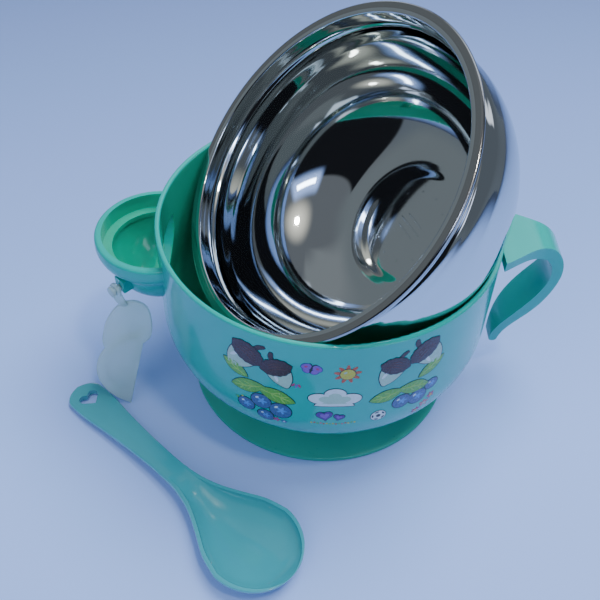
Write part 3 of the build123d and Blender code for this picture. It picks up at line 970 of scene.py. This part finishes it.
def make_prints():
    """Generic motifs on the front of the belly."""
    make_sprigs()
    make_cloud()
    make_butterfly()
    make_sun()
    make_hearts_and_ball()
    make_flowers()
    make_dots()


# ---------------------------------------------------------------- stopper and strap
STOPPER_RADIUS = 20.6
STOPPER_FLAT = ((8.7, -25.0), (-0.8, -64.4))
PLATE_OFFSET = 3.6
TAB_OUTLINE = (
    (2.4, -6.9), (-1.6, -10.2), (-5.2, -15.6), (-7.4, -21.5), (-8.6, -29.0), (-6.0, -36.0), (1.0, -36.0),
    (6.4, -30.6), (10.8, -26.2), (12.1, -20.6), (11.9, -13.0), (10.4, -9.2), (6.8, -6.9), (2.4, -6.9),
)


def stopper_matrix():
    """Frame of the stopper: x across, y up its face, z out of its flat front, at the hinge."""
    out = direction(272.0, 6.0)
    side = direction(2.0)
    place = Matrix((side, out.cross(side), out)).transposed().to_4x4()
    place.translation = HINGE * MM
    return place


def half_round(radius, offset):
    """Half-round outline whose straight side lies along the stopper's flat."""
    top, bottom = Vector(STOPPER_FLAT[0]), Vector(STOPPER_FLAT[1])
    down = (bottom - top).normalized()
    left = Vector((down.y, -down.x))
    centre = (top + bottom) / 2 - left * PLATE_OFFSET
    reach = sqrt(radius**2 - offset**2)
    start, end = atan2(-reach, offset), atan2(reach, offset)
    outline = []
    for k in range(49):
        turn = start + (end - start) * k / 48
        outline.append(tuple(centre + (left * cos(turn) + down * sin(turn)) * radius))
    first, last = Vector(outline[-1]), Vector(outline[0])
    outline += [tuple(first.lerp(last, k / 24)) for k in range(1, 24)]
    return outline


def make_stopper():
    """Milky stopper: rounded half-round plate, the plug behind it, and the finger tab above it."""
    plate = half_round(STOPPER_RADIUS, PLATE_OFFSET)
    stopper = rounded_slab("stopper_plate", plate, 0.0, -2.2, 0.7, clear_silicone)
    boss = rounded_slab("stopper_boss", half_round(17.4, 5.3), -1.9, -6.75, 1.0, clear_silicone)
    outline = curve_through(TAB_OUTLINE, 6)[:-1]
    tab = rounded_slab("stopper_tab", outline, -0.06, -2.14, 0.75, clear_silicone)
    for other in (boss, tab):
        combine(stopper, other, "UNION")
    smooth_by_angle(stopper, 42)
    stopper.name = "stopper"
    stopper.data.transform(stopper_matrix())
    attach(stopper, "plug")
    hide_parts("fill_plug")
    return stopper


def make_strap():
    """Soft strap: a rounded eye on the pin and a ribbon that narrows down to the stopper's tab."""
    ring = [(1.5, -0.6), (1.9, -1.0)] + arc((2.2, 0.0), (0.7, 1.0), -90, 90, 8) + [(1.9, 1.0), (1.5, 0.6)]
    eye = lathe("strap_eye", ring, clear_silicone, 48)
    out = direction(225.0)
    side = direction(315.0)
    turn = Matrix((side, out.cross(side), out)).transposed().to_4x4()
    turn.translation = HINGE * MM
    eye.data.transform(turn)
    start = HINGE + Vector((0.0, 0.0, -2.0))
    end = stopper_matrix() @ (Vector((3.1, -9.4, -1.1)) * MM) / MM
    across = direction(2.0)
    run = (end - start).normalized()
    normal = across.cross(run).normalized()
    thick = 0.75
    count = 20
    steps = 24
    vertices, faces = [], []
    for k in range(steps + 1):
        share = k / steps
        half = 2.0 - 0.45 * share if share > 0.15 else 1.35 + 0.58 * sin(pi / 2 * share / 0.15)
        middle = start.lerp(end, share) + direction(250.0) * 0.7 * sin(pi * share)
        for j in range(count):
            a = 2 * pi * j / count
            x = half * (1 if cos(a) >= 0 else -1) * abs(cos(a)) ** 0.6
            z = thick * (1 if sin(a) >= 0 else -1) * abs(sin(a)) ** 0.6
            vertices.append(tuple(middle + across * x + normal * z))
    for k in range(steps):
        for j in range(count):
            n = (j + 1) % count
            faces.append((k * count + j, k * count + n, (k + 1) * count + n, (k + 1) * count + j))
    faces.append(tuple(range(count)))
    faces.append(tuple(range(steps * count, (steps + 1) * count)))
    strap = mesh_object("strap", vertices, faces, clear_silicone)
    combine(strap, eye, "UNION")
    smooth_by_angle(strap, 45)
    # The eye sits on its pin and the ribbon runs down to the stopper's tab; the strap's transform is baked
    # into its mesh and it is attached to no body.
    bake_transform(strap)
    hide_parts("plug_strap")


# ---------------------------------------------------------------- carried-over CAD nodes
def dress_cad_nodes():
    """Materials and smooth shading for the CAD nodes that stay visible."""
    finishes = {
        "outer_shell": shell_plastic,
        "cup_retainer": hidden_plastic,
        "strap_pin": clear_silicone,
    }
    for name, material in finishes.items():
        node = frame["nodes"][name]
        node.data.materials.clear()
        node.data.materials.append(material)
        smooth_by_angle(node, 32)
    # The cavity and the filling port get a greener, deeper copy of the shell's plastic: painted shade and
    # painted green light bounced about inside the hollows, not a plastic of its own colour.
    shell = frame["nodes"]["outer_shell"]
    shell.data.materials.append(cavity_painted_shade_plastic)
    for face in shell.data.polygons:
        middle, normal = face.center / MM, face.normal
        across = sqrt(middle.x**2 + middle.y**2)
        towards_axis = normal.x * middle.x + normal.y * middle.y < 0.0
        cavity = across < RIM_RADIUS - 1.5 and FOOT_HEIGHT + 1.0 < middle.z < 85.0
        from_port = sqrt((middle.x + RIM_RADIUS) ** 2 + middle.y**2)
        port = middle.x < -RIM_RADIUS and from_port < 22.0 and middle.z > 45.0
        inwards = normal.x * (middle.x + RIM_RADIUS) + normal.y * middle.y < 0.0
        upwards = normal.z > 0.3
        if (cavity and (towards_axis or upwards)) or (port and (inwards or upwards)):
            face.material_index = 1


# ---------------------------------------------------------------- stage, light and camera
# Floor tints: the step from the front tint to the back tint is painted shade.
FLOOR_FRONT = (0.39, 0.545, 1.0)
FLOOR_BACK_PAINTED_SHADE = (0.165, 0.23, 0.45)
FLOOR_FAR = (0.16, 0.19, 0.27)


def make_floor():
    """Pale matt table top, with painted shade darkening it towards the back, and darker far away from the
    object.
    """
    paper = Material("floor_paper")
    where = paper.space()
    split = paper.add("SeparateXYZ", {"Vector": where})
    # Painted shade: the base colour darkens from front to back, where less light falls.
    back = paper.ranged(split.outputs["Y"], 0.0, 1.0, -0.05, 0.45)
    away = paper.ranged(paper.length(where), 0.0, 1.0, 0.7, 2.2)
    tint = paper.mix(away, paper.mix(back, FLOOR_FRONT, FLOOR_BACK_PAINTED_SHADE), FLOOR_FAR)
    paper.shade({"Base Color": tint, "Roughness": 0.6, "Specular IOR Level": 0.2})
    paper.bump(paper.noise(where, 700.0, 5.0), 0.05, 0.0003)
    half, level = 3000.0, -0.05
    ends = [(-half, -half, level), (half, -half, level), (half, half, level), (-half, half, level)]
    floor = mesh_object("floor", ends, [(0, 1, 2, 3)], paper.data, smooth=False)


def area_light(name, place, aim, size, power, colour, reflected=False):
    """Soft area light at a place, turned to a point."""
    data = bpy.data.lights.new(name, "AREA")
    data.shape = "DISK"
    data.size = size
    data.energy = power
    data.color = colour
    light = new_object(name, data)
    light.location = place
    light.rotation_euler = (Vector(aim) - Vector(place)).to_track_quat("-Z", "Y").to_euler()
    light.visible_glossy = reflected


def make_lights():
    """Large soft lights for the shading, and a small lamp that sparkles in the steel and the plastic."""
    area_light("lamp", (0.243, -0.334, 1.198), (0, 0, 0.07), 0.11, 3.0, (1.0, 0.97, 0.9), True)
    area_light("key", (0.35, 0.25, 1.1), (0, 0, 0.03), 0.8, 15.0, (0.80, 0.90, 1.0))
    area_light("fill", (-0.5, -0.7, 0.9), (0, 0, 0.03), 1.0, 3.5, (0.80, 0.90, 1.0))


class Environment(Nodes):
    """World seen in reflections: a dim room with a grey ceiling, windows and a dark figure in front."""

    def __init__(self):
        world = bpy.data.worlds.new("studio")
        world.use_nodes = True
        bpy.context.scene.world = world
        super().__init__(world.node_tree)
        self.where = self.nodes.new("ShaderNodeTexCoord").outputs["Generated"]
        split = self.add("SeparateXYZ", {"Vector": self.where})
        self.azimuth = self.degrees_of(self.math("ARCTAN2", split.outputs["Y"], split.outputs["X"]))
        self.elevation = self.degrees_of(self.math("ARCSINE", split.outputs["Z"]))
        self.total = None

    def math(self, operation, first, second=None):
        """Value of a sum on one or two numbers."""
        node = self.nodes.new("ShaderNodeMath")
        node.operation = operation
        for socket, value in zip(node.inputs, (first, second)):
            if value is not None:
                self.put(socket, value)
        return node.outputs["Value"]

    def degrees_of(self, value):
        """Degrees from radians."""
        return self.math("MULTIPLY", value, 180 / pi)

    def band(self, distance, half, soft):
        """One inside a half width, fading to nothing over a soft edge."""
        node = self.add("MapRange", {"From Min": half + soft, "From Max": half, "Value": distance})
        node.interpolation_type = "SMOOTHSTEP"
        return node.outputs["Result"]

    def patch(self, azimuth, elevation, half_width, half_height, soft, slant=0.0):
        """Soft-edged rectangle in azimuth and elevation, in degrees."""
        away = self.math("SUBTRACT", self.azimuth, azimuth)
        away = self.math("WRAP", away, 180.0)
        away.node.inputs[2].default_value = -180.0
        rise = self.math("SUBTRACT", self.elevation, elevation)
        if slant:
            away = self.math("ADD", away, self.math("MULTIPLY", rise, slant))
        side = self.band(self.math("ABSOLUTE", away), half_width, soft)
        height = self.band(self.math("ABSOLUTE", rise), half_height, soft)
        return self.math("MULTIPLY", side, height)

    def spot(self, azimuth, elevation, radius, soft):
        """Round soft-edged spot about a direction, in degrees."""
        dot = self.nodes.new("ShaderNodeVectorMath")
        dot.operation = "DOT_PRODUCT"
        dot.inputs[1].default_value = direction(azimuth, elevation)
        self.links.new(self.where, dot.inputs[0])
        away = self.degrees_of(self.math("ARCCOSINE", self.math("MINIMUM", dot.outputs["Value"], 1.0)))
        return self.band(away, radius, soft)

    def set_base(self, low, high):
        """Background that goes from one colour at the horizon to another overhead."""
        self.total = self.mix(self.ranged(self.elevation, 0.0, 1.0, 8.0, 30.0), low, high)

    def paint(self, factor, colour):
        """Lay a colour over what is there."""
        self.total = self.mix(factor, self.total, colour)

    def finish(self, plain, strength):
        """Direct reflections see the painted room; everything else sees a plain soft colour."""
        path = self.nodes.new("ShaderNodeLightPath")
        first = self.math("LESS_THAN", path.outputs["Diffuse Depth"], 0.5)
        mirrored = self.math("MULTIPLY", path.outputs["Is Glossy Ray"], first)
        colour = self.mix(mirrored, plain, self.total)
        background = self.nodes["Background"]
        self.links.new(colour, background.inputs["Color"])
        background.inputs["Strength"].default_value = strength


def make_environment():
    """Grey room with a dark figure in front, a window strip above it, and lamps overhead."""
    room = Environment()
    room.set_base((0.15, 0.18, 0.22), (0.17, 0.185, 0.21))
    room.paint(room.patch(150, 26, 36, 14, 22), (0.20, 0.23, 0.255))
    room.paint(room.patch(125, 62, 34, 10, 18), (0.27, 0.295, 0.32))
    room.paint(room.patch(20, 35, 50, 30, 8), (0.12, 0.14, 0.17))
    room.paint(room.patch(64, 48, 24, 11, 8), (1.3, 1.5, 1.8))
    room.paint(room.patch(35, 30, 7, 16, 3), (1.3, 1.4, 1.6))
    room.paint(room.patch(100, 18, 5, 12, 2), (1.6, 1.8, 2.2))
    room.paint(room.patch(254, 18, 49, 24, 2.5, slant=0.35), (0.012, 0.013, 0.017))
    room.paint(room.patch(281, 46, 16, 2.5, 9), (0.7, 1.0, 1.9))
    room.paint(room.patch(281, 45.5, 13, 1.1, 1.6), (12.0, 14.0, 18.0))
    room.paint(room.patch(318, 30, 5, 16, 2), (1.8, 2.0, 2.6))
    room.paint(room.spot(303, 69, 3.0, 16.0), (1.3, 1.25, 1.1))
    room.finish((0.27, 0.34, 0.49), 1.0)


def make_camera():
    """Camera above the front edge, looking down at the bowl's middle."""
    data = bpy.data.cameras.new("camera")
    data.lens = 51.0
    data.sensor_width = 36.0
    camera = new_object("camera", data)
    turn = Matrix.Rotation(radians(-3.0), 4, "Z") @ Matrix.Rotation(radians(43.4), 4, "X")
    turn = turn @ Matrix.Rotation(radians(2.43), 4, "Z")
    camera.matrix_world = Matrix.Translation((-0.02325, -0.24997, 0.30268)) @ turn
    bpy.context.scene.camera = camera


make_camera()
make_floor()
make_lights()
make_environment()
dress_cad_nodes()
make_steel_bowl()
make_suction_base()
make_spoon()
make_prints()
make_stopper()
make_strap()


def corners(box):
    """A box as two plain lists of numbers."""
    return [[float(c) for c in corner] for corner in box]
